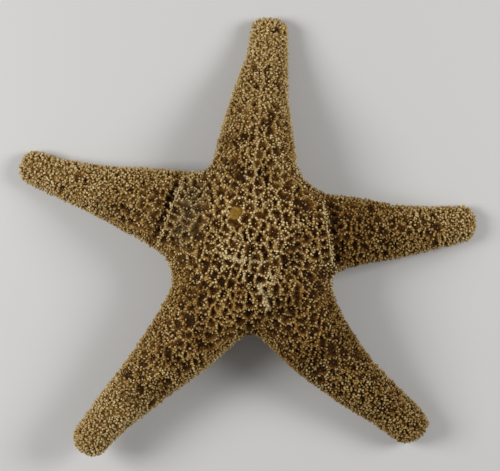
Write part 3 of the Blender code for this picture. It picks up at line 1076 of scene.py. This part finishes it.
# The spines on the rims. Along the two wrinkled rims the spines stand shoulder to shoulder in one thin
# pale line.
RIM_STEP = 0.6
RIM_HEAD = 0.38
RIM_SPINE = 1.9
RIM_JITTER = 0.08
RIM_TILT = 0.1
plan = np.concatenate([paced(line, 0, RIM_STEP)[0] for line in rims])
plan += chance.normal(0, RIM_JITTER, plan.shape)
feet = np.column_stack([plan, body(plan)[1] - RIM_SPINE])
ways = leaned(np.tile([0, 0, 1.0], (len(plan), 1)), RIM_TILT)
heights = RIM_SPINE * chance.uniform(0.85, 1.0, len(plan))
heads = RIM_HEAD * chance.uniform(0.8, 1.2, len(plan))
add_spines("rim_spines", feet, ways, heights, heads, SPINE_PROFILE, SPINE_SIDES)

# The bent spines. Beside the bleached ridge a clump of spines was crushed as the animal dried: they lie
# flat, fanned out from one place, next to three swollen white ones.
FAN_MIDDLE = (12.2, -19.2)
FAN_TURN = (-100.0, 40.0)
FAN_COUNT = 13
FAN_UNEVEN = 6.0
FAN_STARTS = (0.6, 2.4)
FAN_RISE = 0.12
FAN_DEPTH = 0.75
FAN_LENGTH = 2.5
FAN_HEAD = 0.42
SWOLLEN = ((9.7, -22.6), (10.9, -23.1), (16.6, -26.0))
SWOLLEN_HEIGHT = 1.6
SWOLLEN_HEAD = 0.85
BENT_SIDES = 8
fan_turn = np.radians(np.linspace(*FAN_TURN, FAN_COUNT) + chance.normal(0, FAN_UNEVEN, FAN_COUNT))
fan_way = np.column_stack([np.cos(fan_turn), np.sin(fan_turn)])
plan = np.concatenate([FAN_MIDDLE + fan_way * chance.uniform(*FAN_STARTS, (FAN_COUNT, 1)), SWOLLEN])
ways = np.column_stack([fan_way, np.full(FAN_COUNT, FAN_RISE)])
ways /= np.linalg.norm(ways, axis=1, keepdims=True)
ways = np.concatenate([ways, np.tile([0, 0, 1.0], (len(SWOLLEN), 1))])
is_swollen = np.arange(len(plan)) >= FAN_COUNT
feet = np.column_stack([plan, body(plan)[1] - np.where(is_swollen, SWOLLEN_HEIGHT, FAN_DEPTH)])
heights = np.where(is_swollen, SWOLLEN_HEIGHT, FAN_LENGTH)
heads = np.where(is_swollen, SWOLLEN_HEAD, FAN_HEAD)
add_spines("bent_spines", feet, ways, heights, heads, SPINE_PROFILE, BENT_SIDES)

# The granules. Grains of lime and the stubs of tiny pincers, a third of a millimetre across, all over
# the skin between the spines: thickest beside the ridges, and only a few down in the meshes.
GRAIN_SPACING = 0.8
GRAIN_HALF = 0.30
GRAIN_HEIGHT = 0.62
GRAIN_ROOTED = 0.2
GRAIN_TILT = 0.3
GRAIN_SIDES = 4
GRAIN_PROFILE = ((0.0, 1.0), (0.62, 0.78))
BESIDE_RIDGE = 1.0
BESIDE_SHARE = 0.2
MESH_SHARE = 0.08
TIP_SHARE = 0.12
luck = chance.random(len(spots))
share = np.where(spot_ridge < BESIDE_RIDGE, BESIDE_SHARE, MESH_SHARE) + TIP_SHARE * crowd
grainy = upper & clear & (luck < share)
grainy[picked] = False
grains = thinned(spots, np.flatnonzero(grainy), np.full(len(spots), GRAIN_SPACING))
feet, _ = feet_at(grains, GRAIN_ROOTED)
ways = leaned(spot_ways[grains], GRAIN_TILT)
heights = np.full(len(grains), GRAIN_HEIGHT)
heads = GRAIN_HALF * chance.uniform(0.7, 1.3, len(grains))
add_spines("granules", feet, ways, heights, heads, GRAIN_PROFILE, GRAIN_SIDES)

# The spines of the underside. The same limy spines, a little longer and flatter, in close ranks out
# from the groove.
UNDER_SPACING = 2.3
UNDER_HEAD = 0.6
UNDER_SIDES = 5
UNDER_PROFILE = ((0.0, 0.7), (0.6, 0.72), (0.92, 0.9))
under = np.flatnonzero(~upper)
under = under[np.argsort(sweep[under])]
chosen = thinned(spots, under, np.full(len(spots), UNDER_SPACING))
feet, depth = feet_at(chosen, ROOTED)
ways = leaned(spot_ways[chosen], SPINE_TILT)
heights = depth * chance.uniform(0.8, 1.0, len(chosen))
heads = np.full(len(chosen), UNDER_HEAD)
add_spines("underside_spines", feet, ways, heights, heads, UNDER_PROFILE, UNDER_SIDES)

# The grooves underneath. Along each arm runs a groove with four rows of dried tube feet, which end in
# small suckers, and slender spines stand in two rows on both its lips, and on the five jaws round the
# mouth.
FOOT_ROWS = (-1.9, -0.7, 0.7, 1.9)
FOOT_STEP = 1.5
FOOT_LENGTH = 3.4
FOOT_HALF = 0.42
FOOT_TILT = 0.22
FOOT_PROFILE = ((0.0, 0.8), (0.5, 0.55), (0.84, 0.6), (0.93, 1.0))
LIP_ROWS = (-4.5, -3.3, 3.3, 4.5)
LIP_STEP = 1.3
LIP_LENGTH = 2.7
LIP_HALF = 0.34
LIP_TILT = 0.35
LIP_PROFILE = ((0.0, 0.75), (0.6, 1.0), (0.92, 0.7))
LIP_DIP = 0.85
MOUTH_ENDS = 7.5
JAW_SPINES = 12
JAW_SPREAD = 0.42
JAW_FROM = 3.8
JAW_TO = 6.6
JAW_LENGTH = 3.4
UNDER_DEPTH = 1.9
GROOVE_JITTER = 0.14


def along_grooves(rows, step):
    """Places every step along rows beside the arms' middle lines, and the directions to those lines."""
    places = []
    inwards = []
    for arm in ARMS.values():
        station = np.arange(MOUTH_ENDS, arm.reach - GROOVE_STOPS_SHORT, step)
        for row in rows:
            at = arm_point(arm, station, np.full(len(station), row))
            places.append(at + chance.normal(0, GROOVE_JITTER, at.shape))
            inwards.append(np.tile(-math.copysign(1, row) * directions(arm.heading)[1], (len(at), 1)))
    return np.concatenate(places), np.concatenate(inwards)


def under_skin(plan):
    """The points of the skin's underside over those plan points."""
    return np.column_stack([plan, body(plan)[2] + UNDER_DEPTH])


AMBER_STALK = (0.13, 0.066, 0.020)
PALE_SUCKER = (0.42, 0.290, 0.130)
tube_foot, foot_shader, dye = finish_of("tube_foot", Specular_IOR_Level=0.4)
sucker = ((dye.value("up") + (dye.value("own") - 0.5) * 0.4 - 0.5) * 2.2).clamped()
foot_colour = dye.mixed(AMBER_STALK, PALE_SUCKER, sucker)
soak(dye, foot_shader, Base_Color=foot_colour, Roughness=0.45 + 0.3 * dye.value("own"))
plan, _ = along_grooves(FOOT_ROWS, FOOT_STEP)
ways = leaned(np.tile([0, 0, -1.0], (len(plan), 1)), FOOT_TILT)
heights = FOOT_LENGTH * chance.uniform(0.7, 1.1, len(plan))
heads = FOOT_HALF * chance.uniform(0.8, 1.2, len(plan))
mesh = spine_mesh("tube_feet", under_skin(plan), ways, heights, heads, FOOT_PROFILE, UNDER_SIDES)
add_piece("tube_feet", mesh, tube_foot)

plan, inward = along_grooves(LIP_ROWS, LIP_STEP)
jaw = np.repeat(np.radians(list(CROTCH_HEADINGS.values())), JAW_SPINES)
jaw += chance.uniform(-JAW_SPREAD, JAW_SPREAD, len(jaw))
jaw_inward = -np.column_stack([np.cos(jaw), np.sin(jaw)])
plan = np.concatenate([plan, DISC_CENTRE - jaw_inward * chance.uniform(JAW_FROM, JAW_TO, (len(jaw), 1))])
inward = np.concatenate([inward, jaw_inward])
ways = leaned(np.column_stack([inward, np.full(len(plan), -LIP_DIP / (1 - LIP_DIP))]), LIP_TILT)
reach = np.append(np.full(len(plan) - len(jaw), LIP_LENGTH), np.full(len(jaw), JAW_LENGTH))
heights = reach * chance.uniform(0.8, 1.1, len(plan))
heads = LIP_HALF * chance.uniform(0.8, 1.2, len(plan))
add_spines("groove_spines", under_skin(plan), ways, heights, heads, LIP_PROFILE, UNDER_SIDES)

# The sieve plate. One smooth limy plate, off centre between two arms, through which the living animal
# takes in water: a low ochre dome with fine furrows running out from its middle, let into the skin.
SIEVE_RINGS = 22
SIEVE_SPOKES = 66
SIEVE_RISE = 0.55
SIEVE_LET_IN = 0.15
SIEVE_FURROWS = 16
FURROW_DEPTH = 0.11
FURROWS_FADE = 0.35
SIEVE_DARK = (0.20, 0.107, 0.010)
SIEVE_OCHRE = (0.33, 0.180, 0.024)
SIEVE_SIZE = 0.0014
ring = np.linspace(0, 1, SIEVE_RINGS + 1)[1:, None]
spoke = np.arange(SIEVE_SPOKES) * math.tau / SIEVE_SPOKES
long_way, short_way = directions(SIEVE_TURN)
ragged = 1 + 0.04 * np.sin(3 * spoke + 1) + 0.03 * np.sin(5 * spoke)
plan = (ring * SIEVE_HALF[0] * ragged * np.cos(spoke))[..., None] * long_way
plan = plan + (ring * SIEVE_HALF[1] * ragged * np.sin(spoke))[..., None] * short_way + SIEVE_MIDDLE
plan = np.concatenate([plan.reshape(-1, 2), [SIEVE_MIDDLE]])
dome = SIEVE_RISE * np.sqrt(np.clip(1.02 - ring**2, 0, 1)) * np.ones(SIEVE_SPOKES)
furrows = 1 + np.sin(SIEVE_FURROWS * spoke + 5 * ring + 1.5 * np.sin(9 * ring))
dome -= FURROW_DEPTH * furrows * smooth_step(ring / FURROWS_FADE)
rise = np.append(dome.ravel(), SIEVE_RISE)
sieve_points = np.column_stack([plan, body(plan)[1] - DISC_SKIN_DEPTH - SIEVE_LET_IN + rise])
corner = np.arange(SIEVE_RINGS - 1)[:, None] * SIEVE_SPOKES
step = np.arange(SIEVE_SPOKES)
after = (step + 1) % SIEVE_SPOKES
outer = corner + SIEVE_SPOKES
quads = np.stack([corner + step, outer + step, outer + after, corner + after], axis=-1)
middle = np.stack([np.full(SIEVE_SPOKES, len(plan) - 1), step, after], axis=-1)
bottom = (SIEVE_RINGS - 1) * SIEVE_SPOKES + step[::-1]
sieve_mesh = bpy.data.meshes.new("sieve_plate")
faces = [*quads.reshape(-1, 4).tolist(), *middle.tolist(), bottom.tolist()]
sieve_mesh.from_pydata(sieve_points * MM, [], faces)
sieve_lime, sieve_shader, dye = finish_of("sieve_lime", Roughness=0.7, Specular_IOR_Level=0.15)
ochre = dye.mixed(SIEVE_DARK, SIEVE_OCHRE, ((dye.speckle(SIEVE_SIZE) - 0.4) * 2.4).clamped())
soak(dye, sieve_shader, Base_Color=ochre)
add_piece("sieve_plate", sieve_mesh, sieve_lime)

# The floor: a plain pale tabletop.
FLOOR_HALF = 1.5
PALE_TABLE = (0.605, 0.60, 0.59, 1.0)
corners = [(x * FLOOR_HALF, y * FLOOR_HALF, 0) for x, y in ((-1, -1), (1, -1), (1, 1), (-1, 1))]
floor_mesh = bpy.data.meshes.new("floor")
floor_mesh.from_pydata(corners, [], [(0, 1, 2, 3)])
floor_finish, _, _ = finish_of("pale_table", Base_Color=PALE_TABLE, Roughness=0.6)
floor_mesh.materials.append(floor_finish)
floor = bpy.data.objects.new("floor", floor_mesh)
bpy.context.scene.collection.objects.link(floor)

# The light: two soft boxes, left and right of the table, and a weak even light from the room.
LAMPS = (("left_box", (-0.68, 0.08, 0.62), 5.9), ("right_box", (0.75, 0.15, 0.66), 5.4))
LAMP_SIZE = 0.40
ROOM_LIGHT = 0.21
for name, place, power in LAMPS:
    lamp = bpy.data.lights.new(name, "AREA")
    lamp.shape = "RECTANGLE"
    lamp.size = LAMP_SIZE
    lamp.size_y = LAMP_SIZE
    lamp.energy = power
    light = bpy.data.objects.new(name, lamp)
    light.location = place
    toward = -np.array(place)
    down_angle = math.atan2(math.hypot(*toward[:2]), -toward[2])
    light.rotation_euler = (down_angle, 0, math.atan2(toward[1], toward[0]) - math.pi / 2)
    bpy.context.scene.collection.objects.link(light)
room = bpy.data.worlds.new("room")
room.use_nodes = True
room.node_tree.nodes["Background"].inputs["Color"].default_value = (1.0, 1.0, 1.0, 1.0)
room.node_tree.nodes["Background"].inputs["Strength"].default_value = ROOM_LIGHT
bpy.context.scene.world = room
bpy.context.scene.view_settings.view_transform = "Standard"

# The camera looks straight down from above the middle of the picture, which is 250 mm wide at the
# outline's height.
LENS = 135.0
SENSOR = 36.0
PICTURE_WIDTH = 250.0
OUTLINE_HEIGHT = 8.0
PICTURE_MIDDLE = (1.0, 0.0)
camera_data = bpy.data.cameras.new("camera")
camera_data.lens = LENS
camera_data.sensor_width = SENSOR
camera_data.sensor_fit = "HORIZONTAL"
camera = bpy.data.objects.new("camera", camera_data)
camera.location = (
    PICTURE_MIDDLE[0] * MM,
    PICTURE_MIDDLE[1] * MM,
    (OUTLINE_HEIGHT + PICTURE_WIDTH * LENS / SENSOR) * MM,
)
bpy.context.scene.collection.objects.link(camera)
bpy.context.scene.camera = camera
